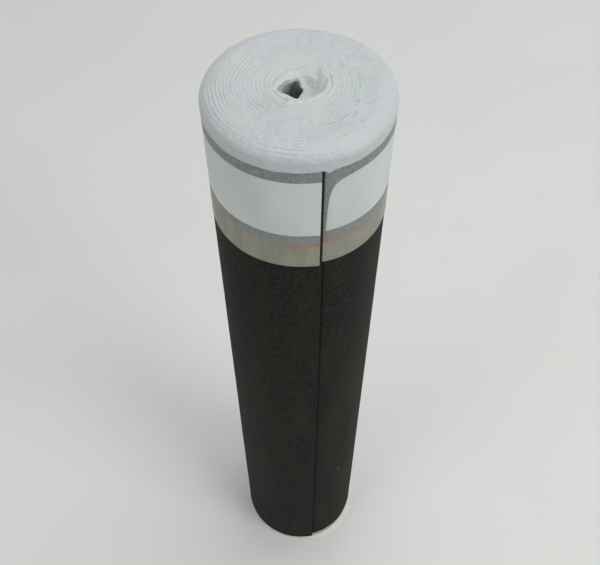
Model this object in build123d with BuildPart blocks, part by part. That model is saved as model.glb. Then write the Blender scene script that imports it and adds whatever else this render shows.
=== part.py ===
"""A roll of roofing felt standing on its end.

One long bituminous sheet is wound up on itself round an open bore, with no core in it.
A thin white film is wound in with the sheet. It is wider than the sheet, so its gathered
edges come out at both ends: a soft collar at the top, and a skirt squashed flat at the base.
A printed wrapper goes once round the roll at its top edge and ends where the sheet ends.

The origin is on the floor at the axis of the bore, and +Z goes up along the roll.
The winding is a spiral of quarter turns. Each quarter is turned about a centre of its own,
and the four centres are the corners of a small square. The radius falls by a quarter of the
sheet's thickness from one quarter to the next, so the arcs run on into each other, and after
a whole turn the surface has dropped by one thickness. That drop is the seam.
"""

import os
from math import ceil, cos, pi, radians, sin, sqrt

from build123d import *

# Driving dimensions of the sheet, in millimetres and degrees
sheet_length = 7500
sheet_width = 1000
sheet_thickness = 4
sheet_edge_relief = 1  # how far the line between two turns is sunk into the cut edges
bore_radius = 20
seam_azimuth = -76  # where the outer end of the sheet stops, a little right of the front

# The film's gathered edge above the roll
collar_height = 22
collar_rim_radius = 12  # the outer turns of film lean out and make a rounded rim
collar_relief = 2  # depth of the lines between the turns of film
collar_inset = 0.5  # the collar stands this far inside the sheet's outer face

# The film's squashed edge under the roll
skirt_height = 7
skirt_foot_height = 3  # the upright outer side of the skirt, below its slope
skirt_bulge = 2.5  # how far the squashed film comes out past the sheet

# The printed wrapper
wrapper_height = 141
wrapper_thickness = 0.5
wrapper_below_edge = 1  # from the top cut edge of the sheet down to the wrapper

# Sizes that follow
roll_radius = sqrt(bore_radius**2 + sheet_length * sheet_thickness / pi)  # the mean of the quarters
quarter_step = sheet_thickness / 4  # fall of the radius in each quarter, and the square's side
turns = ceil((roll_radius - bore_radius) / sheet_thickness + 0.6)  # the last one is cut by the bore
sheet_bottom = skirt_height
sheet_top = sheet_bottom + sheet_width
roll_height = sheet_top + collar_height
wrapper_top = sheet_top - wrapper_below_edge


# The winding: where each quarter starts, and what it turns about


def direction(quarter):
    """The unit vector from the axis to where a quarter starts. The quarters go clockwise from above."""
    azimuth = radians(seam_azimuth - 90 * quarter)
    return Vector(cos(azimuth), sin(azimuth), 0)


def centre(quarter):
    """A corner of the small square that the four quarters turn about."""
    corner = (direction(0) - direction(1)) * (quarter_step / 2)
    for passed in range(1, quarter + 1):
        corner += direction(passed) * quarter_step
    return corner


def quarter_plane(quarter):
    """The upright plane where a quarter's profile is drawn: its X is the radius, its Y is the height."""
    outward = direction(quarter)
    return Plane(origin=centre(quarter), x_dir=outward, z_dir=outward.cross(Vector(0, 0, 1)))


def quarter_axis(quarter):
    return Axis(centre(quarter), (0, 0, -1))


def outer_radius(quarter):
    """The sheet's outer face at a quarter, from that quarter's own centre."""
    return roll_radius + (1.5 - quarter) * quarter_step


def rim_fall(depth, rim_radius):
    """How far a rounded rim has fallen at a depth in from the outer face."""
    reach = max(rim_radius - depth, 0)
    return rim_radius - sqrt(rim_radius**2 - reach**2)


def turn_edges(outer, level, relief, rim_radius=0):
    """The turns on an end, from the outside in: a crown in the middle of each turn, a line between two.

    A positive relief sinks the lines below the level, and a negative one raises them above it.
    The last point lies inside the bore, which is cut afterwards.
    """
    points = []
    for half_turn in range(2 * turns + 1):
        depth = half_turn * sheet_thickness / 2
        sunk = relief if half_turn % 2 == 0 else 0
        points.append((outer - depth, level - rim_fall(depth, rim_radius) - sunk))
    return points


# The sheet: one solid, turned quarter by quarter, with its bore and its turns on both ends

with BuildPart() as membrane_roll:
    for quarter in range(4):
        top_edges = turn_edges(outer_radius(quarter), sheet_top, sheet_edge_relief)
        bottom_edges = turn_edges(outer_radius(quarter), sheet_bottom, -sheet_edge_relief)
        with BuildSketch(quarter_plane(quarter)):
            with BuildLine():
                Polyline(*top_edges, *reversed(bottom_edges), close=True)
            make_face()
        revolve(axis=quarter_axis(quarter), revolution_arc=90)
    with Locations((0, 0, sheet_top)):
        Hole(radius=bore_radius)
membrane_roll.part.label = "membrane_roll"

# The film: what stands out of it at the two ends, as a collar with the same turns and a flat skirt

with BuildPart() as release_film:
    for quarter in range(4):
        outer = outer_radius(quarter) - collar_inset
        inner = outer - turns * sheet_thickness
        top_edges = turn_edges(outer, roll_height, collar_relief, collar_rim_radius)
        with BuildSketch(quarter_plane(quarter)):
            with BuildLine():
                Polyline(*top_edges, (inner, sheet_top), (outer, sheet_top), close=True)
            make_face()
        revolve(axis=quarter_axis(quarter), revolution_arc=90)
    for quarter in range(4):
        outer = outer_radius(quarter)
        inner = outer - turns * sheet_thickness
        foot = outer + skirt_bulge
        slope = [(foot, 0), (foot, skirt_foot_height), (outer, skirt_height)]
        with BuildSketch(quarter_plane(quarter)):
            with BuildLine():
                Polyline(*slope, (inner, skirt_height), (inner, 0), close=True)
            make_face()
        revolve(axis=quarter_axis(quarter), revolution_arc=90)
    with Locations((0, 0, roll_height)):
        Hole(radius=bore_radius)
release_film.part.label = "release_film"

# The wrapper: a thin sleeve on the outer turn, open where the sheet ends

with BuildPart() as wrapper_band:
    for quarter in range(4):
        wall_middle = outer_radius(quarter) + wrapper_thickness / 2
        with BuildSketch(quarter_plane(quarter)):
            with Locations((wall_middle, wrapper_top - wrapper_height / 2)):
                Rectangle(wrapper_thickness, wrapper_height)
        revolve(axis=quarter_axis(quarter), revolution_arc=90)
wrapper_band.part.label = "wrapper_band"

# One file for each piece

os.makedirs("parts", exist_ok=True)
for piece in (membrane_roll, release_film, wrapper_band):
    export_step(piece.part, f"parts/{piece.part.label}.step")

print(f"roll {2 * roll_radius:.1f} mm across and {roll_height} mm high, about {turns - 1} turns")
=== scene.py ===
# %% [markdown]
# # A roll of roofing felt, standing on its end
#
# Roofing felt is a bituminous sheet, a metre wide and a few millimetres thick. It is sold wound up
# on itself, with a thin white film wound in, so that the turns don't stick to each other.
# The film is a little wider than the sheet. Its edge stands out at both ends of the roll, gathers
# into a soft white collar at the top, and is squashed flat by the weight at the base.
# A printed wrapper goes once round the outer turn, just under the top edge.
#
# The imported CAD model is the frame: it says where every piece is. Here each piece gets its fine
# relief and its finish. A roll is wound by one rule, a spiral, so Geometry Nodes winds most of it.

# %% Load the frame
from math import cos, pi, radians, sin, sqrt

import bmesh
import bpy
import numpy as np
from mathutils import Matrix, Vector, noise
from mathutils.bvhtree import BVHTree


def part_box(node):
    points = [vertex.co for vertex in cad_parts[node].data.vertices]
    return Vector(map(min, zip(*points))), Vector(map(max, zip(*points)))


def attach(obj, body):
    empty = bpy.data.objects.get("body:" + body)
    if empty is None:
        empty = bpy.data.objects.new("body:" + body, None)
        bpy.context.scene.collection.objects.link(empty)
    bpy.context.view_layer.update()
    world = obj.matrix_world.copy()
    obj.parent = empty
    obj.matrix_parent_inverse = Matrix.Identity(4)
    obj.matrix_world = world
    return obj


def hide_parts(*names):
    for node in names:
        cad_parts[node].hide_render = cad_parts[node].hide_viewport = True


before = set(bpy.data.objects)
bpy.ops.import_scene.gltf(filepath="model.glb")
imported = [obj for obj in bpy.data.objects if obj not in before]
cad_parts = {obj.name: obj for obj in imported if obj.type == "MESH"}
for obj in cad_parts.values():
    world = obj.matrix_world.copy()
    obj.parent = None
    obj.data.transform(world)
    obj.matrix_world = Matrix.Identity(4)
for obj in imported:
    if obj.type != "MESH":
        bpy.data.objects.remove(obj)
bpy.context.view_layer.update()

print("CAD nodes:", ", ".join(sorted(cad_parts)))

# %% [markdown]
# ## The sizes
#
# The model gives the heights. The winding's own sizes are the same as in the CAD source: the
# outer face is widest at the seam, where the sheet ends, and after one turn clockwise, as seen
# from above, it has come in by one thickness. That small step is the seam itself.
# All sizes are in metres, unless a comment says otherwise.

# %% Read the sizes
sheet_length = 7.5
sheet_thickness = 0.004
bore_radius = 0.020
seam_azimuth = radians(-76)
sheet_low, sheet_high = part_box("membrane_roll")
film_low, film_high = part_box("release_film")
wrapper_low, wrapper_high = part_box("wrapper_band")
sheet_bottom = sheet_low.z
sheet_top = sheet_high.z
floor_level = film_low.z
roll_top = film_high.z
roll_radius = sqrt(bore_radius**2 + sheet_length * sheet_thickness / pi)
seam_radius = roll_radius + sheet_thickness / 2
print(f"roll {2000 * roll_radius:.1f} mm across, {1000 * roll_top:.0f} mm high")

# %% [markdown]
# ## The camera
#
# The photograph looks down on the roll's end from about 80 cm away, and so does the camera. It is
# turned further down than in the photograph, where the lower half of the roll is outside the
# picture, so that the whole roll shows.

# %% Place the camera
camera_distance = 0.62
camera_above_top = 0.50
camera_pitch = radians(53.2)
camera_data = bpy.data.cameras.new("camera")
camera_data.lens = 47.0
camera_data.clip_start = 0.01
camera = bpy.data.objects.new("camera", camera_data)
camera.location = (0, -camera_distance, roll_top + camera_above_top)
camera.rotation_euler = (pi / 2 - camera_pitch, 0, 0)
scene = bpy.context.scene
scene.collection.objects.link(camera)
scene.camera = camera
scene.render.pixel_aspect_x = scene.render.pixel_aspect_y = 1
scene.view_settings.view_transform = "Standard"
print("camera at", tuple(round(value, 3) for value in camera.location))

# %% [markdown]
# ## Formulas for nodes
#
# Both the shapes and the finishes here follow rules with many small sums. A sum in a node tree is
# a Math node with two wires. So that a rule can be read as a formula, this helper holds one
# output socket, and adding or multiplying it puts the Math node into the tree.


# %% Write a rule as a formula
def feed(tree, socket, value):
    """Gives an input socket a rule's wire or a plain value."""
    if isinstance(value, Rule):
        tree.links.new(value.socket, socket)
    else:
        socket.default_value = value


class Rule:
    """One number at every point of a piece, worked out by nodes."""

    def __init__(self, tree, socket):
        self.tree = tree
        self.socket = socket

    def sum_node(self, operation, *others):
        node = self.tree.nodes.new("ShaderNodeMath")
        node.operation = operation
        for socket, value in zip(node.inputs, (self, *others)):
            feed(self.tree, socket, value)
        return Rule(self.tree, node.outputs[0])

    def __add__(self, other):
        return self.sum_node("ADD", other)

    def __sub__(self, other):
        return self.sum_node("SUBTRACT", other)

    def __mul__(self, other):
        return self.sum_node("MULTIPLY", other)

    def __truediv__(self, other):
        return self.sum_node("DIVIDE", other)

    def __pow__(self, other):
        return self.sum_node("POWER", other)

    def __rsub__(self, other):
        return self * -1 + other

    __radd__ = __add__
    __rmul__ = __mul__


def at_least(rule, other):
    return rule.sum_node("MAXIMUM", other)


def at_most(rule, other):
    return rule.sum_node("MINIMUM", other)


print("rules can be added, multiplied and limited")

# %% [markdown]
# Four more helpers are enough. The first rises smoothly from 0 to 1, which blends one thing into
# another. Two put a point together and take it apart. The last gives soft noise, so that nothing
# on the roll is as regular as its formula.


# %% Blend, place and scatter
def ease(rule, start, end):
    """Rises smoothly from 0 at start to 1 at end. With end below start it falls instead."""
    node = rule.tree.nodes.new("ShaderNodeMapRange")
    node.interpolation_type = "SMOOTHSTEP"
    feed(rule.tree, node.inputs["Value"], rule)
    feed(rule.tree, node.inputs["From Min"], start)
    feed(rule.tree, node.inputs["From Max"], end)
    return Rule(rule.tree, node.outputs["Result"])


def place(x, y, z):
    """A point from three rules."""
    tree = next(rule.tree for rule in (x, y, z) if isinstance(rule, Rule))
    node = tree.nodes.new("ShaderNodeCombineXYZ")
    for socket, value in zip(node.inputs, (x, y, z)):
        feed(tree, socket, value)
    return Rule(tree, node.outputs[0])


def parts(where):
    """The three rules that a point is made of."""
    node = where.tree.nodes.new("ShaderNodeSeparateXYZ")
    feed(where.tree, node.inputs[0], where)
    return [Rule(where.tree, socket) for socket in node.outputs]


def cloud(where, size, detail, seed):
    """Soft noise from -1 to 1 at a point. Its lumps are about as large as size."""
    node = where.tree.nodes.new("ShaderNodeTexNoise")
    node.noise_dimensions = "4D"
    feed(where.tree, node.inputs["Vector"], where)
    feed(where.tree, node.inputs["W"], seed)
    node.inputs["Scale"].default_value = 1 / size
    node.inputs["Detail"].default_value = detail
    return Rule(where.tree, node.outputs[0]) * 2 - 1


print("rules can be blended, placed and scattered")

# %% [markdown]
# ## Winding a strip
#
# Everything that goes round this roll is a strip wound on the same spiral: the sheet, the film and
# the wrapper. One could sweep a curve along a spiral curve, but then every point is where the sweep
# puts it. Here a flat grid is bent instead. Its columns go round the roll, and its rows go once
# round the strip's cross-section, which is a short list of points that anyone can redraw.
# Each place on it knows how many turns it is from the seam and where it is in the section, and that
# is enough to give it a radius, a height and any folds.

# %% Make a tree that winds a strip
joined_within = 0.00001  # points of a wound mesh that are closer than this become one

WINDING_SIZES = (
    ("Columns", "Int", 400),
    ("First Turn", "Float", 0.0),
    ("Last Turn", "Float", 1.0),
    ("Sheet Thickness", "Float", sheet_thickness),
    ("Seam Radius", "Float", seam_radius),
    ("Seam Azimuth", "Float", seam_azimuth),
    ("Foot", "Float", 0.0),
    ("Height", "Float", 1.0),
    ("Seed", "Float", 0.0),
    ("Finish", "Material", None),
)


class Winding:
    """A Geometry Nodes tree that bends a grid round the roll.

    Each point knows turned, the turns from the seam, and across and share, its place in the section.
    """

    def __init__(self, name, sizes=()):
        self.tree = bpy.data.node_groups.new(name, "GeometryNodeTree")
        self.tree.is_modifier = True
        sockets = self.tree.interface
        sockets.new_socket("Section", in_out="INPUT", socket_type="NodeSocketGeometry")
        sockets.new_socket("Piece", in_out="OUTPUT", socket_type="NodeSocketGeometry")
        for label, kind, value in (*WINDING_SIZES, *sizes):
            socket = sockets.new_socket(label, in_out="INPUT", socket_type="NodeSocket" + kind)
            if value is not None:
                socket.default_value = value
        self.inputs = self.node("NodeGroupInput").outputs
        self.lay_grid()

    def node(self, kind, **settings):
        made = self.tree.nodes.new(kind)
        for setting, value in settings.items():
            setattr(made, setting, value)
        return made

    def size(self, label):
        return Rule(self.tree, self.inputs[label])

    def wire(self, start, end):
        self.tree.links.new(start, end)

    def lay_grid(self):
        """The grid, and what each of its points knows."""
        count = self.node("GeometryNodeAttributeDomainSize")
        self.wire(self.inputs["Section"], count.inputs["Geometry"])
        self.grid = self.node("GeometryNodeMeshGrid")
        self.wire(self.inputs["Columns"], self.grid.inputs["Vertices X"])
        self.wire(count.outputs["Point Count"], self.grid.inputs["Vertices Y"])
        rows = Rule(self.tree, count.outputs["Point Count"])
        index = Rule(self.tree, self.node("GeometryNodeInputIndex").outputs[0])
        self.column = ((index + 0.5) / rows).sum_node("FLOOR")
        section = self.node("GeometryNodeSampleIndex", data_type="FLOAT_VECTOR")
        self.wire(self.inputs["Section"], section.inputs["Geometry"])
        self.wire(self.node("GeometryNodeInputPosition").outputs[0], section.inputs["Value"])
        self.wire((index - self.column * rows).socket, section.inputs["Index"])
        self.across, self.share, _ = parts(Rule(self.tree, section.outputs[0]))
        self.turned = self.even_turns(self.column / (self.size("Columns") - 1))

    def even_turns(self, along):
        """The turns at a share of the strip's length. An inner turn is shorter, so it gets fewer columns."""
        thickness = self.size("Sheet Thickness")
        start = self.size("Seam Radius") - thickness * self.size("First Turn")
        end = self.size("Seam Radius") - thickness * self.size("Last Turn")
        radius = (start * start + (end * end - start * start) * along).sum_node("SQRT")
        return (self.size("Seam Radius") - radius) / thickness

    def round_the_roll(self, radius, height, turned=None):
        """A point at this radius and height, clockwise from the seam."""
        angle = self.size("Seam Azimuth") - (turned or self.turned) * (2 * pi)
        return place(radius * angle.sum_node("COSINE"), radius * angle.sum_node("SINE"), height)

    def finish(self, where, marks=None):
        """Puts the grid in place, joins its edges and gives it its finish."""
        moved = self.node("GeometryNodeSetPosition")
        self.wire(self.grid.outputs["Mesh"], moved.inputs["Geometry"])
        self.wire(where.socket, moved.inputs["Position"])
        last = moved.outputs[0]
        for label, value in (marks or {}).items():
            store = self.node("GeometryNodeStoreNamedAttribute", data_type="FLOAT2", domain="CORNER")
            store.inputs["Name"].default_value = label
            self.wire(last, store.inputs["Geometry"])
            on_points = self.node("GeometryNodeFieldOnDomain", data_type="FLOAT_VECTOR", domain="POINT")
            self.wire(value.socket, on_points.inputs[0])
            self.wire(on_points.outputs[0], store.inputs["Value"])
            last = store.outputs[0]
        for kind in ("MergeByDistance", "SetShadeSmooth", "RealizeInstances", "SetMaterial"):
            step = self.node("GeometryNode" + kind)
            self.wire(last, step.inputs["Geometry"])
            last = step.outputs[0]
            if kind == "MergeByDistance":
                step.inputs["Distance"].default_value = joined_within
        self.wire(self.inputs["Finish"], step.inputs["Material"])
        self.wire(last, self.node("NodeGroupOutput").inputs["Piece"])
        return self.tree


print("a winding has", len(WINDING_SIZES), "named inputs")

# %% [markdown]
# A tree is run as a modifier on a section, which is a line of points. What it makes is kept as a plain
# mesh, and the modifier goes. The strip's two ends are still open there, so they are closed, and the
# faces are turned outwards.


# %% Run a tree and keep its mesh
def close(mesh, crease):
    """Closes a mesh's open ends, turns its faces outwards and marks its sharp edges."""
    shape = bmesh.new()
    shape.from_mesh(mesh)
    bmesh.ops.holes_fill(shape, edges=[edge for edge in shape.edges if edge.is_boundary])
    bmesh.ops.recalc_face_normals(shape, faces=shape.faces)
    for face in shape.faces:
        face.smooth = True
    shape.to_mesh(mesh)
    shape.free()
    mesh.set_sharp_from_angle(angle=crease)
    mesh.calc_loop_triangles()


def wind(name, tree, section, crease, **sizes):
    """Runs a tree on a section, and keeps what it makes as a plain closed mesh."""
    line = bpy.data.meshes.new(name + "_section")
    line.from_pydata([(across, share, 0) for across, share in section], [], [])
    piece = bpy.data.objects.new(name, line)
    scene.collection.objects.link(piece)
    modifier = piece.modifiers.new("winding", "NODES")
    modifier.node_group = tree
    wanted = {label.replace("_", " ").title(): value for label, value in sizes.items()}
    for socket in tree.interface.items_tree:
        if socket.in_out == "INPUT" and socket.name in wanted:
            modifier[socket.identifier] = wanted.pop(socket.name)
    assert not wanted, f"no such input: {wanted}"
    made = piece.evaluated_get(bpy.context.evaluated_depsgraph_get())
    mesh = bpy.data.meshes.new_from_object(made)
    mesh.name = name
    piece.modifiers.remove(modifier)
    piece.data = mesh
    close(mesh, crease)
    print(f"{name}: {len(mesh.loop_triangles)} triangles")
    return piece


print("trees can be run")

# %% [markdown]
# ## Finishes
#
# Each finish is made of nodes that read the object's own coordinates, so the pattern stays on the
# roll from any side. These helpers start a finish and mix its colours.


# %% Start a finish
class Finish:
    """A material with a Principled shader, and the rules that it is made of."""

    def __init__(self, name, roughness, **sockets):
        self.material = bpy.data.materials.new(name)
        self.material.use_nodes = True
        self.tree = self.material.node_tree
        self.shader = self.tree.nodes["Principled BSDF"]
        self.shader.inputs["Roughness"].default_value = roughness
        for label, value in sockets.items():
            self.shader.inputs[label.replace("_", " ").title().replace("Ior", "IOR")].default_value = value
        coordinates = self.tree.nodes.new("ShaderNodeTexCoord")
        self.where = Rule(self.tree, coordinates.outputs["Object"])

    def stretched(self, x, y, z):
        """The object's coordinates times three factors. A factor below 1 stretches a pattern."""
        node = self.tree.nodes.new("ShaderNodeMapping")
        node.inputs["Scale"].default_value = (x, y, z)
        feed(self.tree, node.inputs["Vector"], self.where)
        return Rule(self.tree, node.outputs[0])

    def mix(self, amount, first, second):
        """A colour between two, by an amount from 0 to 1."""
        node = self.tree.nodes.new("ShaderNodeMix")
        node.data_type = "RGBA"
        feed(self.tree, node.inputs["Factor"], amount)
        colours = [socket for socket in node.inputs if socket.type == "RGBA"]
        for socket, colour in zip(colours, (first, second)):
            feed(self.tree, socket, colour if isinstance(colour, Rule) else (*colour, 1))
        return Rule(self.tree, next(socket for socket in node.outputs if socket.type == "RGBA"))

    def cells(self, where, size):
        """The distance to the nearest of many scattered spots, where size is 1."""
        node = self.tree.nodes.new("ShaderNodeTexVoronoi")
        node.inputs["Scale"].default_value = 1 / size
        feed(self.tree, node.inputs["Vector"], where)
        return Rule(self.tree, node.outputs["Distance"])

    def colour(self, rule):
        feed(self.tree, self.shader.inputs["Base Color"], rule)

    def roughness(self, rule):
        feed(self.tree, self.shader.inputs["Roughness"], rule)

    def relief(self, height):
        """Fine relief from a height."""
        node = self.tree.nodes.new("ShaderNodeBump")
        node.inputs["Distance"].default_value = 1.0
        node.inputs["Strength"].default_value = 1.0
        feed(self.tree, node.inputs["Height"], height)
        self.tree.links.new(node.outputs[0], self.shader.inputs["Normal"])


def paint(red, green, blue):
    """A colour from 0 to 255, as one reads it off a screen, made linear for the shader."""
    return tuple(
        value / 255 / 12.92 if value <= 10 else ((value / 255 + 0.055) / 1.055) ** 2.4
        for value in (red, green, blue)
    )


print("finish helpers ready")

# %% [markdown]
# ## The felt
#
# The outer face of the sheet is matt charcoal bitumen, dusted with fine sand that keeps it from
# sticking. It isn't one flat black: sand gathers in patches, and handling leaves a few scuffs.
# Paler zones that run up the roll are painted sheen. The sand could be real grains, but they are
# half a millimetre across, so noise and small cells in the finish do it.

# %% Finish the felt
felt = Finish("felt", 0.75, specular_ior_level=0.07)
sand = cloud(felt.where, size=0.0020, detail=3, seed=3.0)
dust = cloud(felt.stretched(1, 1, 0.35), size=0.03, detail=3, seed=5.0)
painted_sheen_zones = cloud(felt.stretched(1, 1, 0.1), size=0.07, detail=2, seed=8.0)
mottle = cloud(felt.where, size=0.0045, detail=3, seed=9.0)
grain = felt.cells(felt.where, size=0.0016)
scuffed = felt.cells(felt.stretched(1, 1, 0.4), size=0.06)
scuff = ease(scuffed, 0.075, 0.03) * ease(mottle, -0.2, 0.3)

charcoal = felt.mix(ease(sand, -0.4, 0.5), paint(4, 5, 4), paint(42, 44, 40))
charcoal = felt.mix(ease(dust, -0.3, 0.5) * 0.5, charcoal, paint(36, 40, 32))
# Paler zones that run up the roll: painted sheen
charcoal = felt.mix(ease(painted_sheen_zones, -0.1, 0.5) * 0.4, charcoal, paint(44, 47, 41))
charcoal = felt.mix(ease(mottle, 0.0, 0.6) * 0.5, charcoal, paint(8, 8, 8))
charcoal = felt.mix(ease(mottle, 0.0, -0.6) * 0.35, charcoal, paint(64, 66, 58))
charcoal = felt.mix(ease(grain, 0.22, 0.08) * 0.4, charcoal, paint(96, 98, 88))
charcoal = felt.mix(scuff * 0.45, charcoal, paint(96, 98, 84))

# The sheet's cut end and the narrow strip beside it are in the shade of the seam
felt_x, felt_y, _ = parts(felt.where)
past_seam = felt_y * cos(seam_azimuth) - felt_x * sin(seam_azimuth)
out_to_seam = felt_x * cos(seam_azimuth) + felt_y * sin(seam_azimuth)
shade = ease(past_seam, 0.0040, 0.0012) * ease(past_seam, -0.0006, 0.0) * ease(out_to_seam, 0.09, 0.092)
charcoal = felt.mix(shade * 0.85, charcoal, paint(6, 6, 6))
felt.colour(charcoal)
felt.roughness(0.72 + sand * 0.12)
felt.relief(sand * 0.00012 + ease(grain, 0.5, 0.1) * 0.0001 + dust * 0.0004)
print("felt finish ready")

# %% [markdown]
# The sheet is stiff, and a roll of it is never a perfect cylinder: it swells and sinks by a fraction
# of a millimetre in long upright waves. At the seam the last two centimetres spring up a little, and
# leave a thin dark gap. The sheet and the wrapper on it follow the same swell.

# %% Bend the sheet as a real one bends
tail_turn = 0.030  # the part of a turn that has sprung up
tail_lift = 0.0013  # how far its end stands up
cut_slant = 0.0032  # how far the cut end leans over, in turns


def swell(winding, radius, height, turned):
    """How far the roll's side stands out or in."""
    side = winding.round_the_roll(radius, height * 0.35, turned)
    large = cloud(side, size=0.09, detail=1, seed=2.0)
    small = cloud(side, size=0.03, detail=1, seed=4.0)
    return large * 0.0006 + small * 0.00015


def lift(turned, height):
    """How far the sheet's free end has sprung up."""
    free = at_least(1 - at_least(turned, 0) / tail_turn, 0)
    uneven = cloud(place(0, 0, height), size=0.22, detail=1, seed=6.0) * 0.35 + 0.75
    return free * free * uneven * tail_lift


def wind_sheet_tree():
    winding = Winding("wind_sheet", [("Swell", "Float", 1.0)])
    thickness = winding.size("Sheet Thickness")
    across, share, turned = winding.across, winding.share, winding.turned
    height = winding.size("Foot") + winding.size("Height") * share
    face = winding.size("Seam Radius") - thickness * turned
    radius = face - thickness * (1 - across)
    radius = radius + swell(winding, face, height, turned) * winding.size("Swell")
    radius = radius + lift(turned, height)
    cut = at_least(1 - winding.column, 0) * across * cut_slant * winding.size("Swell")
    return winding.finish(winding.round_the_roll(radius, height, turned + cut))


sheet_tree = wind_sheet_tree()
print("the sheet's free end stands up by", 1000 * tail_lift, "mm")

# %% [markdown]
# Only the outer turn shows its face, so it gets many rows, and the swell. The turns inside it show
# their edges at the ends at most. They are wound with one row to a side, and joined to it.


# %% Wind the felt
def sheet_section(rows):
    """Up the outer face of the sheet and down its inner face, with its two cut edges slightly rounded."""
    edge = 0.0007
    levels = [edge + (1 - 2 * edge) * row / rows for row in range(rows + 1)]
    outer = [(1, level) for level in levels]
    inner = [(0.02, level) for level in reversed(levels)]
    top = [(0.8, 1), (0.22, 1)]
    bottom = [(0.22, 0), (0.8, 0)]
    return [*outer, *top, *inner, *bottom, outer[0]]


def join(kept, other):
    """Puts one piece's mesh into another's."""
    shape = bmesh.new()
    shape.from_mesh(kept.data)
    shape.from_mesh(other.data)
    shape.to_mesh(kept.data)
    shape.free()
    bpy.data.objects.remove(other)


sheet_turns = 19.4
sheet_crease = radians(40)
sheet_sizes = dict(foot=sheet_bottom, height=sheet_top - sheet_bottom, finish=felt.material)
felt_roll = wind(
    "felt_roll", sheet_tree, sheet_section(64), sheet_crease,
    columns=316, first_turn=0.0, last_turn=1.05, **sheet_sizes,
)
inner_turns = wind(
    "felt_inner", sheet_tree, sheet_section(1), sheet_crease,
    columns=1839, first_turn=1.05, last_turn=sheet_turns, swell=0.0, **sheet_sizes,
)
join(felt_roll, inner_turns)
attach(felt_roll, "root")
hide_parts("membrane_roll")
print(f"felt wound {sheet_turns} turns")

# %% [markdown]
# ## The white film
#
# The film is soft white plastic, thinner than paper. Gathered, it is matt and milky. Under a grey sky
# it picks up faint tints of blue, green and lilac. Finer creases than the mesh can hold are in the
# finish's relief. Light that goes into the film is left out: where two leaves cross, it drew dark lines.

# %% Finish the film
film = Finish("film", 0.55, specular_ior_level=0.4, sheen_weight=0.1)
tint = cloud(film.where, size=0.055, detail=2, seed=11.0)
patch = cloud(film.where, size=0.03, detail=2, seed=13.0)
crease = cloud(film.stretched(1, 1, 0.4), size=0.006, detail=3, seed=17.0)
film_x, film_y, film_z = parts(film.where)
from_axis = (film_x * film_x + film_y * film_y).sum_node("SQRT")

milky = film.mix(ease(tint, -0.4, 0.4), paint(176, 185, 183), paint(181, 183, 190))
milky = film.mix(ease(patch, 0.0, 0.6) * 0.7, milky, paint(188, 193, 188))
milky = film.mix(ease(from_axis + patch * 0.008, 0.055, 0.030) * 0.8, milky, paint(182, 189, 184))
milky = film.mix(ease(crease, 0.1, 0.7) * 0.3, milky, paint(156, 165, 164))

# Deep in the bore it is greyer: the dark felt shows through the film, and the rest is painted shade.
# At the base, where it lies squashed flat, it is painted whiter, which is painted light.
bore_grey_and_painted_shade = ease(film_z, sheet_top + 0.006, sheet_top - 0.05) * ease(film_z, 0.02, 0.04)
milky = film.mix(bore_grey_and_painted_shade * 0.55, milky, paint(128, 135, 127))
milky = film.mix(ease(film_z, 0.020, 0.006) * 0.8, milky, paint(206, 208, 202))
film.colour(milky)
wrinkle = cloud(film.where, size=0.016, detail=2, seed=15.0).sum_node("ABSOLUTE")
crinkle = cloud(film.where, size=0.0045, detail=2, seed=19.0).sum_node("ABSOLUTE")
film.relief(crease * 0.0003 + wrinkle * 0.0012 + crinkle * 0.0005)
print("film finish ready")

# %% [markdown]
# ## The collar
#
# At the top the film stands about 20 mm above the sheet, once for every turn. It is too soft to stand
# up straight, so the turns fold over and lie on each other like leaves. Together they make one soft
# mass, almost smooth at the back and ridged at the left, with a rounded shoulder at the rim.
#
# So the collar is one leaf, wound on and on. Its section is drawn once: up the outer side, over the
# crown, then in and down under the next leaf. What shapes it comes below in small groups of rules:
# where the leaf lies, its ridges, its top, its foot, and how it moves sideways.
# The skirt at the base is the same leaf turned to go down, so each size is an input of the tree.

# %% Lay the leaf
end_turn = 0.20  # the film's free end grows to a full leaf in this part of a turn
buried = 1.12  # how deep the free end starts below the leaf's face, in thicknesses

FILM_SIZES = (
    ("Direction", "Float", 1.0),
    ("Rim Radius", "Float", 0.013),
    ("Rim Width", "Float", 0.022),
    ("Ridge", "Float", 0.0012),
    ("Crumple", "Float", 0.0011),
    ("Wall Crumple", "Float", 0.0005),
    ("Spread", "Float", 0.0004),
    ("Spread Turn", "Float", 0.0),
    ("Spread Share", "Float", 0.0),
    ("Film End", "Float", 0.0030),
    ("Floor", "Float", -1.0),
)


class FilmEdge(Winding):
    """The winding of one soft leaf. Each point also knows its depth in from the rim, and some more."""

    def __init__(self, name):
        super().__init__(name, FILM_SIZES)
        thickness = self.size("Sheet Thickness")
        seam = self.size("Seam Radius")
        grown = ease(self.turned, -end_turn, 0.0)
        self.face = seam - thickness * (at_least(self.turned, 0) + (1 - grown) * buried)
        self.radius = self.face - thickness * (1 - self.across) * (grown * 0.9 + 0.1)

        # The rim is the leaf's face where no other leaf lies outside it
        self.passed = self.turned + 1 - (self.turned + 1).sum_node("FLOOR")
        end_grown = ease(self.passed, 1 - end_turn, 1.0)
        self.rim = seam - thickness * at_most(self.passed, (1 - end_grown) * buried)
        self.depth = at_least(self.rim - self.face, 0)
        self.outermost = ease(self.depth, 0.001, 0.0)

        # The shoulder is 1 at the rim and falls to 0 where the top is flat
        self.shoulder = at_least(1 - at_least(self.rim - self.radius, 0) / self.size("Rim Width"), 0)

        # Two places for noise to read: the first is the same right across the leaf, the second isn't
        self.side = self.round_the_roll(self.face, 0)
        self.spot = self.round_the_roll(self.radius, 0)

    def noise_at(self, where, size, detail, number):
        """Noise of a size and a detail, with the piece's own seed and a number for each use."""
        return cloud(where, size=size, detail=detail, seed=self.size("Seed") + number)


print("the film's leaf has", len(WINDING_SIZES) + len(FILM_SIZES), "named inputs")

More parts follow.
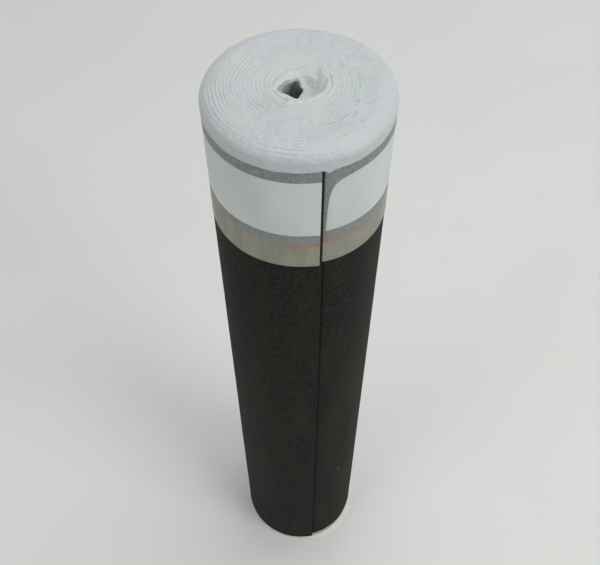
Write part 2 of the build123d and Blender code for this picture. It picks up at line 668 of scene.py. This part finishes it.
# %% [markdown]
# The ridges are what the eye follows. On a real roll they aren't even rings: they come and go, because
# here a leaf stands and there it lies. Along the film's own length two neighbouring leaves are far
# apart, half a metre or so, so noise along that length makes each of them stand or lie by itself.


# %% Raise its ridges
def ridges(leaf):
    """The height of the low ridges, in broken stretches, and of a few raised edges at the right."""
    seam = leaf.size("Seam Radius")
    side_x, side_y, _ = parts(leaf.side)
    on_left = ease(side_x + side_y * 0.5, 0.02, -0.07)
    on_right = ease(side_x, 0.0, 0.05)
    stretches = ease(leaf.noise_at(leaf.side, 0.045, 2, 1), -0.35, 0.45)
    shown = (ease(leaf.depth, 0.0, 0.010) * 0.65 + 0.35) * (0.2 + ease(leaf.face, 0.033, 0.042) * 0.8)
    ridge = leaf.size("Ridge") * shown * (0.15 + stretches * 0.85) * (0.4 + on_left * 0.6)
    flap = leaf.size("Ridge") * shown * (0.12 + on_right * 0.88)

    along_film = place((seam * seam - leaf.face * leaf.face) * pi / leaf.size("Sheet Thickness"), 0, 0)
    stands = leaf.noise_at(along_film, 0.085, 1, 4)
    curls = leaf.noise_at(along_film, 0.016, 1, 12)
    crown = (at_least(leaf.across, 0) * pi).sum_node("SINE")
    own_crown = at_least(stands * 1.3 + 0.7, 0.1) * (1 - on_right * 0.35)
    raised_edge = ease(leaf.across, 0.5, 1.0) * ease(curls + stands * 0.5, 0.2, 0.6)
    return ridge * (crown * crown * own_crown - 0.5) + flap * raised_edge * 0.8


print("ridges ready")

# %% [markdown]
# The leaf's top is a rounded shoulder at the rim and flat behind it. Large lumps, smaller creases and
# fine folds that point at the axis are added, each from noise of its own size, because cloth and film
# crumple in all sizes at once. The foot of the outermost leaf hangs raggedly over the sheet's edge,
# and the film's free end hangs down beside the seam.


# %% Shape its top and its foot
def top(leaf, relief):
    """How far the leaf reaches up, with its ridges on it."""
    rim_radius = leaf.size("Rim Radius") * (1 + leaf.noise_at(leaf.side, 0.07, 1, 8) * 0.22)
    fall = rim_radius * (1 - (1 - leaf.shoulder * leaf.shoulder).sum_node("SQRT"))
    under_next = at_least(0 - leaf.across, 0) * leaf.size("Sheet Thickness") * 0.8
    lumps = leaf.noise_at(leaf.spot, 0.06, 1, 2) * 1.3 + leaf.noise_at(leaf.spot, 0.022, 1, 9) * 0.8
    crinkled = ease(leaf.noise_at(leaf.spot, 0.035, 1, 10), -0.2, 0.4) * 0.7 + 0.3
    creases = leaf.noise_at(leaf.spot, 0.010, 2, 3) * crinkled
    fan = leaf.round_the_roll(0.06, leaf.radius * 0.25)
    folds = leaf.noise_at(fan, 0.006, 1, 13) * crinkled * 0.35
    crest = leaf.size("Height") - fall - under_next + relief
    return crest + (lumps + creases + folds) * leaf.size("Crumple")


def foot(leaf):
    """How far the outermost leaf hangs down over the cut edge of the sheet."""
    free_end = ease(leaf.turned, -0.014, -0.005) * ease(leaf.turned, 0.0, -0.003)
    ragged = at_least(leaf.noise_at(leaf.side, 0.016, 2, 11), -0.3) * 0.0013 + 0.0012
    hang = ragged * leaf.outermost + free_end * leaf.size("Film End")
    return hang * ease(leaf.share, 0.3, 0.0) * ease(leaf.across, 0.5, 1.0)


print("top and foot ready")

# %% [markdown]
# Sideways, the leaves wander off their spiral where they are loose. The outer ones are pushed out: a
# little and unevenly at the collar, and far to one side at the skirt. The outer wall bulges and is
# creased, and the ridges run out over the shoulder.


# %% Move it sideways and finish the tree
def moved_radius(leaf, relief):
    """The leaf's radius, with all that moves it out or in."""
    lean = leaf.share * leaf.share
    flat = ease(leaf.depth, 0.002, 0.020)
    waves = leaf.noise_at(leaf.spot, 0.032, 1, 5) * 0.0030 + leaf.noise_at(leaf.spot, 0.010, 1, 6) * 0.0008
    wander = waves * lean * flat

    toward = ((leaf.passed - leaf.size("Spread Turn")) * (2 * pi)).sum_node("COSINE")
    pushed = ease(toward + leaf.noise_at(leaf.side, 0.03, 2, 7) * 0.05, 0.70, 1.0)
    loose = 0.1 + ease(leaf.noise_at(leaf.side, 0.075, 1, 7), -0.1, 0.6) * 0.9
    spread_share = leaf.size("Spread Share")
    spread = leaf.size("Spread") * (loose * (1 - spread_share) + pushed * spread_share)
    outer_leaf = ease(leaf.rim - leaf.radius, 0.010, 0.0)
    bulge = spread * outer_leaf * leaf.share**0.6 + leaf.outermost * 0.00035 * ease(leaf.across, 0.8, 1.0)

    wall = leaf.round_the_roll(leaf.face, leaf.share * 0.02)
    wall_folds = leaf.noise_at(wall, 0.012, 2, 14) + leaf.noise_at(wall, 0.035, 1, 15)
    wall_folds = wall_folds * leaf.share * outer_leaf * ease(leaf.across, 0.5, 1.0)
    over_shoulder = relief * leaf.share * leaf.shoulder * ease(leaf.depth, 0.0, 0.004)
    return leaf.radius + wander + bulge + wall_folds * leaf.size("Wall Crumple") + over_shoulder


def wind_film_tree():
    leaf = FilmEdge("wind_film")
    relief = ridges(leaf)
    height = leaf.size("Foot") + (leaf.share * top(leaf, relief) - foot(leaf)) * leaf.size("Direction")
    height = at_least(height, leaf.size("Floor"))
    return leaf.finish(leaf.round_the_roll(moved_radius(leaf, relief), height))


film_tree = wind_film_tree()
print("the film's tree has", len(film_tree.nodes), "nodes")

# %% [markdown]
# The innermost turns of film are left to the throat, so the collar stops before the bore does.

# %% Wind the collar
leaf_section = (
    (1.00, 0.00), (1.00, 0.35), (1.00, 0.70), (1.00, 0.90), (1.00, 1.00), (0.99, 1.00), (0.96, 1.00),
    (0.90, 1.00), (0.80, 1.00), (0.66, 1.00), (0.50, 1.00), (0.34, 1.00), (0.18, 1.00), (0.02, 1.00),
    (-0.18, 1.00), (-0.40, 1.00), (0.03, 0.40), (0.03, 0.00), (1.00, 0.00),
)
film_crease = radians(35)
collar_turns = 17.6


def columns_for(last_turn, columns_a_turn):
    """The columns of a winding that begins at the film's free end."""
    return round((last_turn + end_turn) * columns_a_turn) + 1


film_collar = wind(
    "film_collar", film_tree, leaf_section, film_crease,
    columns=columns_for(collar_turns, 250), first_turn=-end_turn, last_turn=collar_turns,
    foot=sheet_top, height=roll_top - sheet_top, ridge=0.0014, seed=21.0, finish=film.material,
)
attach(film_collar, "root")
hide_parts("release_film")

# %% [markdown]
# ## The skirt
#
# At the base the same edge of film is under 35 kg of felt. Its leaves are folded flat on the floor,
# and the outer ones are pushed out past the sheet, furthest at the front right. It is the same tree
# again, turned to go down, with a low height, a small rim and more spread. It runs on to the bore,
# because its turns show when the roll is turned over.

# %% Wind the squashed skirt
skirt_turns = 19.3
film_skirt = wind(
    "film_skirt", film_tree, leaf_section, film_crease,
    columns=columns_for(skirt_turns, 150), first_turn=-end_turn, last_turn=skirt_turns,
    foot=sheet_bottom, height=sheet_bottom, direction=-1.0, floor=floor_level,
    rim_radius=0.0025, rim_width=0.004, ridge=0.0040, crumple=0.0003, wall_crumple=0.0016,
    spread=0.0105, spread_turn=0.914, spread_share=0.8, film_end=0.0, seed=40.0, finish=film.material,
)
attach(film_skirt, "root")
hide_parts("release_film")

# %% [markdown]
# ## The throat
#
# The film is on the inner face of the sheet, so it lines the bore from end to end. At the top its
# innermost turns are crumpled into an uneven mouth, with a soft rolled lip and a shallow groove
# round it. A shelf of film slants down across the right half of the mouth, and what stays open at
# the left is shaped like a diamond. No rule gives that, so the outlines are listed. Each has
# a value in millimetres for a few directions in degrees, where 0 is the right and 90 is the back.

# %% Draw the mouth
mouth_outline = {
    13: 17.5, 50: 15.6, 80: 12.5, 106: 12.0, 141: 12.8, 160: 14.5, 180: 17.5, 192: 21.5,
    202: 25.5, 212: 23.4, 238: 21.0, 252: 22.3, 261: 23.4, 272: 20.5, 295: 18.8, 336: 19.7,
}
mouth_level = {
    13: -3.5, 50: -3.0, 106: -2.2, 141: -1.8, 180: -1.0, 202: -0.4,
    238: 0.6, 261: -0.4, 290: -2.0, 320: -3.5,
}
lip_outline = {
    15: 27.7, 50: 26.6, 80: 22.0, 106: 20.0, 141: 19.5, 180: 23.5, 202: 29.0,
    238: 26.5, 261: 27.5, 290: 25.5, 318: 26.8, 344: 28.5,
}
lip_level = {
    15: 2.2, 50: 1.8, 106: -0.4, 141: -0.6, 180: 0.2, 202: 0.8,
    238: 1.7, 261: 1.0, 290: 0.6, 318: 1.7, 344: 2.2,
}
shelf_outline = {
    0: 2.0, 20: 2.6, 44: 4.2, 60: 4.8, 73: 5.6, 90: 8.0, 102: 13.0, 111: 20.0, 240: 20.0,
    250: 19.5, 256: 14.0, 262: 8.5, 272: 4.6, 285: 3.4, 300: 2.6, 320: 2.2, 340: 2.0,
}
groove_depth = {0: 1.2, 50: 1.0, 90: 0.5, 130: 0.3, 180: 0.5, 215: 1.0, 250: 0.7, 280: 0.4, 320: 0.9}
print("the mouth is", min(mouth_outline.values()), "to", max(mouth_outline.values()), "mm from the axis")

# %% [markdown]
# The few drawn values become a soft closed outline, with one value for each column of a tube. A tube
# is a row of rings, and a smooth curve through the drawn rings gives the ones between them.

# %% Turn outlines into rings
throat_columns = 192
azimuths = np.linspace(0, 2 * pi, throat_columns, endpoint=False)


def soften(values, degrees):
    """Blurs a closed row of values, one for each direction."""
    away = np.degrees(np.minimum(azimuths, 2 * pi - azimuths))
    blur = np.exp(-0.5 * (away / degrees) ** 2)
    return np.fft.ifft(np.fft.fft(values) * np.fft.fft(blur / blur.sum())).real


def round_outline(outline, degrees=5.0):
    """A closed outline in metres through the drawn values."""
    known = sorted(outline)
    values = np.interp(np.degrees(azimuths), known, [outline[key] for key in known], period=360)
    return soften(values / 1000, degrees)


def ring(radius, height):
    """A ring of points from a radius and a height in each direction."""
    radius = np.broadcast_to(radius, azimuths.shape)
    height = np.broadcast_to(height, azimuths.shape)
    return np.stack([radius * np.cos(azimuths), radius * np.sin(azimuths), height], 1)


def rings_through(drawn, steps):
    """Rings on a smooth curve through the drawn ones."""
    made = []
    padded = [2 * drawn[0] - drawn[1], *drawn, 2 * drawn[-1] - drawn[-2]]
    for before, start, end, after in zip(padded, padded[1:], padded[2:], padded[3:]):
        for step in range(steps):
            share = step / steps
            turn = (2 * before - 5 * start + 4 * end - after) * share**2
            twist = (3 * start - before - 3 * end + after) * share**3
            made.append((2 * start + (end - before) * share + turn + twist) / 2)
    return [*made, drawn[-1]]


def closed_rings(name, rings, material):
    """A closed mesh from rings of points. The last ring joins the first, which closes the wall of a tube."""
    faces = []
    for row in range(len(rings)):
        here = row * throat_columns
        next_row = (row + 1) % len(rings) * throat_columns
        for column in range(throat_columns):
            beside = (column + 1) % throat_columns
            faces.append((here + column, here + beside, next_row + beside, next_row + column))
    mesh = bpy.data.meshes.new(name)
    mesh.from_pydata(np.concatenate(rings).tolist(), [], faces)
    mesh.materials.append(material)
    close(mesh, radians(60))
    piece = bpy.data.objects.new(name, mesh)
    scene.collection.objects.link(piece)
    print(f"{name}: {len(mesh.loop_triangles)} triangles")
    return piece


print("a tube has", throat_columns, "columns")

# %% [markdown]
# The edge of the mouth rests on the collar. Where it rests is measured: a ray is dropped on the
# collar's mesh in each direction. The lining of the bore gets soft pleats, which grow towards the
# mouth, and the mouth is crumpled with noise, as the collar is. This noise needs a seed of its own:
# without one, Blender takes it from the clock, and each run would give another mouth.

# %% Rest the mouth on the collar
collar_shape = BVHTree.FromPolygons(
    [vertex.co for vertex in film_collar.data.vertices],
    [face.vertices for face in film_collar.data.polygons],
)


def resting_height(radius):
    """How high the collar is at this radius, in each direction."""
    tops = []
    for reach, azimuth in zip(radius, azimuths):
        above = Vector((reach * cos(azimuth), reach * sin(azimuth), roll_top + 0.05))
        tops.append(collar_shape.ray_cast(above, Vector((0, 0, -1)))[0].z)
    return soften(np.array(tops), 3.0)


def pleats(height):
    """Soft upright folds in the lining, deeper near the mouth."""
    near = np.exp(-(sheet_top - height) / 0.12)
    slow = np.sin(3 * azimuths + 9 * height) + 0.6 * np.sin(7 * azimuths - 14 * height + 1.0)
    return slow * (0.00012 + 0.00030 * near)


noise.seed_set(3)


def crumpled(rings):
    """Crumples the rings of the mouth. The first and the last ones stay where they are."""
    for step, points in enumerate(rings):
        from_start = step / 10
        to_end = (len(rings) - 1 - step) / 12
        share = min(from_start, to_end, 1)
        for point in points:
            where = Vector(point)
            large = noise.noise_vector(where / 0.009) * 0.0011
            small = noise.noise_vector(where / 0.004) * 0.0004
            point += np.array(large + small) * share
    return rings


least_edge = 0.0335  # the collar has no leaf further in than this
lip = round_outline(lip_outline)
edge = np.maximum(lip + 0.008, least_edge)
edge_top = resting_height(edge) - 0.0004
print(f"the mouth rests on the collar {1000 * (edge_top.min() - sheet_top):.1f} mm above the sheet and more")

# %% [markdown]
# Now the rings are put in order: up the lining, over the shelf and the mouth, across the lip and the
# groove to the edge, then back under the collar and down behind the lining to the floor.

# %% Shape the throat
lining = 0.0188
lining_back = 0.0197
lining_foot = 0.0006
mouth = round_outline(mouth_outline, 3.5)
mouth_top = roll_top + round_outline(mouth_level)
lip_top = roll_top + round_outline(lip_level)
below_mouth = lining + (mouth - lining) * 0.3
shelf = np.minimum(below_mouth, round_outline(shelf_outline, 3.5))
groove = round_outline(groove_depth, 8.0)
wall_top = sheet_top - 0.006


def beyond_lip(share, raised):
    """A ring at a share of the way from the lip out to the edge, raised above the straight way."""
    return ring(lip + (edge - lip) * share, lip_top + (edge_top - lip_top) * share + raised)


low_levels = np.linspace(lining_foot, sheet_top - 0.10, 22)
high_levels = np.linspace(sheet_top - 0.09, wall_top - 0.004, 16)
rings = [ring(lining + pleats(level), level) for level in (*low_levels, *high_levels)]
rings += crumpled(rings_through([
    ring(lining + pleats(wall_top), wall_top),
    ring(shelf, roll_top - 0.0125),
    ring(mouth - (below_mouth - shelf) * 0.35, mouth_top - 0.0055),
    ring(mouth, mouth_top - 0.0012),
    ring(mouth + 0.0014, mouth_top),
    ring(lip, lip_top),
    beyond_lip(0.36, -groove),
    beyond_lip(0.64, groove * 0.3),
    ring(edge, edge_top),
], 6))
rings += [
    ring(edge - 0.001, edge_top - 0.004),
    ring(0.0225, roll_top - 0.012),
    ring(0.0205, sheet_top + 0.0005),
    ring(lining_back, sheet_top - 0.003),
    ring(lining_back, lining_foot),
]
film_throat = closed_rings("film_throat", rings, film.material)
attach(film_throat, "root")
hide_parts("release_film")

# %% [markdown]
# ## The wrapper
#
# The wrapper is a printed band of thin plastic, stuck round the outer turn and cut off with it. Its
# print is plain here: a grey strip at the top edge, a white field with one large round corner beside
# the seam, a narrow blue-grey strip, a soft orange line and a beige border.
#
# The band gets a map of its own: across is the distance round the roll from the cut edge, and up is
# the height above its lower edge, both in metres. The print is then drawn with the same formulas as
# a drawing on paper.

# %% Draw the fields of the print
wrapper_height = wrapper_high.z - wrapper_low.z
once_round = 2 * pi * roll_radius
strip_height = 0.014
white_height = 0.077
white_bottom = strip_height + white_height
corner_depth = 0.024
corner_side = 0.0054
corner_gap = 0.0012
corner_curve = -1.1
edge_blur = 0.0004
beige_start = white_bottom + 0.007
beige_blur = 0.010
line_depth = white_bottom + 0.0155
line_reach = 0.006

print_finish = Finish("wrapper", 0.42, specular_ior_level=0.4)
map_node = print_finish.tree.nodes.new("ShaderNodeUVMap")
map_node.uv_map = "print"
band_x, band_y, _ = parts(Rule(print_finish.tree, map_node.outputs[0]))
down = wrapper_height - band_y
right = once_round - band_x

white_top = strip_height + corner_depth * (at_least(right - corner_gap, 0.0002) / corner_side) ** corner_curve
white = ease(down - white_top, -edge_blur, edge_blur)
white = white * ease(down, white_bottom + edge_blur, white_bottom - edge_blur)
below = ease(down, white_bottom - edge_blur, white_bottom + edge_blur)
streak = cloud(print_finish.stretched(1, 1, 0.3), size=0.014, detail=2, seed=29.0)
beige = ease(down + streak * 0.002, beige_start, beige_start + beige_blur)

# The orange line is soft and worn, and shows best near the seam
worn = cloud(print_finish.where, size=0.022, detail=2, seed=31.0)
line_at = down + worn * 0.001
line = ease(line_at, line_depth - line_reach, line_depth) * ease(line_at, line_depth + line_reach, line_depth)
near_seam = at_least(ease(band_x, 0.10, 0.005), ease(right, 0.12, 0.01))
line = line * (near_seam * 0.65 + 0.12) * ease(worn, -0.6, 0.4)
print("print drawn on a band of", round(1000 * once_round), "by", round(1000 * wrapper_height), "mm")

# %% Colour the print
speckle = cloud(print_finish.where, size=0.0035, detail=3, seed=33.0)
haze = cloud(print_finish.stretched(1, 1, 0.5), size=0.045, detail=2, seed=35.0)
loose_film = cloud(print_finish.stretched(1, 1, 0.3), size=0.012, detail=2, seed=37.0)
strip_grey = print_finish.mix(ease(speckle, -0.5, 0.5), paint(104, 109, 110), paint(132, 136, 135))
white_field = print_finish.mix(ease(haze, -0.5, 0.5), paint(182, 192, 188), paint(196, 200, 197))
lower_grey = print_finish.mix(ease(speckle, -0.5, 0.5), paint(106, 113, 113), paint(131, 136, 136))
lower_beige = print_finish.mix(ease(streak, -0.5, 0.5), paint(120, 125, 112), paint(141, 139, 124))
lower_beige = print_finish.mix(ease(speckle, -0.2, 0.6) * 0.35, lower_beige, paint(112, 113, 104))

printed = print_finish.mix(white, strip_grey, white_field)
printed = print_finish.mix(below, printed, lower_grey)
printed = print_finish.mix(beige, printed, lower_beige)
printed = print_finish.mix(line, printed, paint(150, 92, 73))
print_finish.colour(printed)
print_finish.roughness(0.45 + speckle * 0.06)
print_finish.relief(loose_film * 0.00012)
print("wrapper print ready")

# %% [markdown]
# The band lies on the felt and follows its swell and its sprung end. It is cut off a little short of
# the sheet's end, so a dark line of felt shows at the seam, and its other end goes under the sheet.
# A band that was stuck on by hand also has a few loose ripples, and its lower edge lifts a little.

# %% Wind the wrapper
wrapper_gap = 0.00006
wrapper_thickness = 0.00022


def wind_wrapper_tree():
    winding = Winding("wind_wrapper", [("Ripple", "Float", 0.0002), ("Edge Curl", "Float", 0.0003)])
    across, share, turned = winding.across, winding.share, winding.turned
    height = winding.size("Foot") + winding.size("Height") * share
    face = winding.size("Seam Radius") - winding.size("Sheet Thickness") * turned
    radius = face + swell(winding, face, height, turned) + lift(turned, height)
    spot = winding.round_the_roll(face, height * 0.4, turned)
    loose = cloud(spot, size=0.018, detail=2, seed=winding.size("Seed"))
    ripple = at_least(loose, 0) * winding.size("Ripple")
    uneven = cloud(spot, size=0.06, detail=1, seed=52.0) * 0.5 + 0.6
    curl = ease(share, 0.06, 0.0) * winding.size("Edge Curl") * uneven
    in_the_open = ease(turned, 1.0, 0.985)
    radius = radius + wrapper_gap + across * wrapper_thickness + (ripple + curl) * in_the_open
    on_paper = place(turned * once_round, winding.size("Height") * share, 0)
    return winding.finish(winding.round_the_roll(radius, height, turned), {"print": on_paper})


def band_section(rows):
    """Up the outer face of the band and down the inner one."""
    levels = [row / rows for row in range(rows + 1)]
    return [*((1, level) for level in levels), *((0, level) for level in reversed(levels)), (1, 0)]


wrapper = wind(
    "wrapper", wind_wrapper_tree(), band_section(36), radians(50),
    columns=481, first_turn=0.0062, last_turn=1.008,
    foot=wrapper_low.z, height=wrapper_height, seed=51.0, finish=print_finish.material,
)
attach(wrapper, "root")
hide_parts("wrapper_band")

# %% [markdown]
# ## Floor and light
#
# The roll stands on a plain pale floor. The photograph has soft light from above, a little stronger
# from the right. Large area lamps give such light, and a grey world fills the shadows.

# %% Lay the floor
floor_mesh = bpy.data.meshes.new("floor")
floor_shape = bmesh.new()
bmesh.ops.create_circle(floor_shape, cap_ends=True, radius=8.0, segments=64)
floor_shape.to_mesh(floor_mesh)
floor_shape.free()
floor = bpy.data.objects.new("floor", floor_mesh)
scene.collection.objects.link(floor)
floor_finish = Finish("floor", 0.9, specular_ior_level=0.1)
floor_tone = ease(cloud(floor_finish.where, size=0.4, detail=2, seed=61.0), -0.8, 0.8)
floor_finish.colour(floor_finish.mix(floor_tone, paint(213, 214, 211), paint(217, 218, 215)))
floor_mesh.materials.append(floor_finish.material)
print("floor laid")

# %% Hang the lamps


def soft_lamp(name, location, aim, width, watts):
    data = bpy.data.lights.new(name, "AREA")
    data.shape = "SQUARE"
    data.size = width
    data.energy = watts
    lamp = bpy.data.objects.new(name, data)
    lamp.location = location
    lamp.rotation_euler = (Vector(aim) - Vector(location)).to_track_quat("-Z", "Y").to_euler()
    scene.collection.objects.link(lamp)


soft_lamp("overhead", (1.0, 1.2, 5.5), (0, 0, 0.8), 4.5, 150)
soft_lamp("right_window", (3.6, -2.4, 3.2), (0, 0, 0.7), 2.6, 110)
soft_lamp("left_fill", (-3.6, -2.6, 2.4), (0, 0, 0.6), 2.6, 44)

world = bpy.data.worlds.new("world")
scene.world = world
world.use_nodes = True
sky = world.node_tree.nodes["Background"]
rays = world.node_tree.nodes.new("ShaderNodeLightPath")
seen = Rule(world.node_tree, rays.outputs["Is Camera Ray"])
seen = at_least(seen, Rule(world.node_tree, rays.outputs["Is Glossy Ray"]))
seen = at_least(seen, Rule(world.node_tree, rays.outputs["Is Transmission Ray"]))
sky.inputs["Color"].default_value = (1, 1, 1, 1)
feed(world.node_tree, sky.inputs["Strength"], seen * 0.65 + 0.35)
print("three lamps and a pale world")
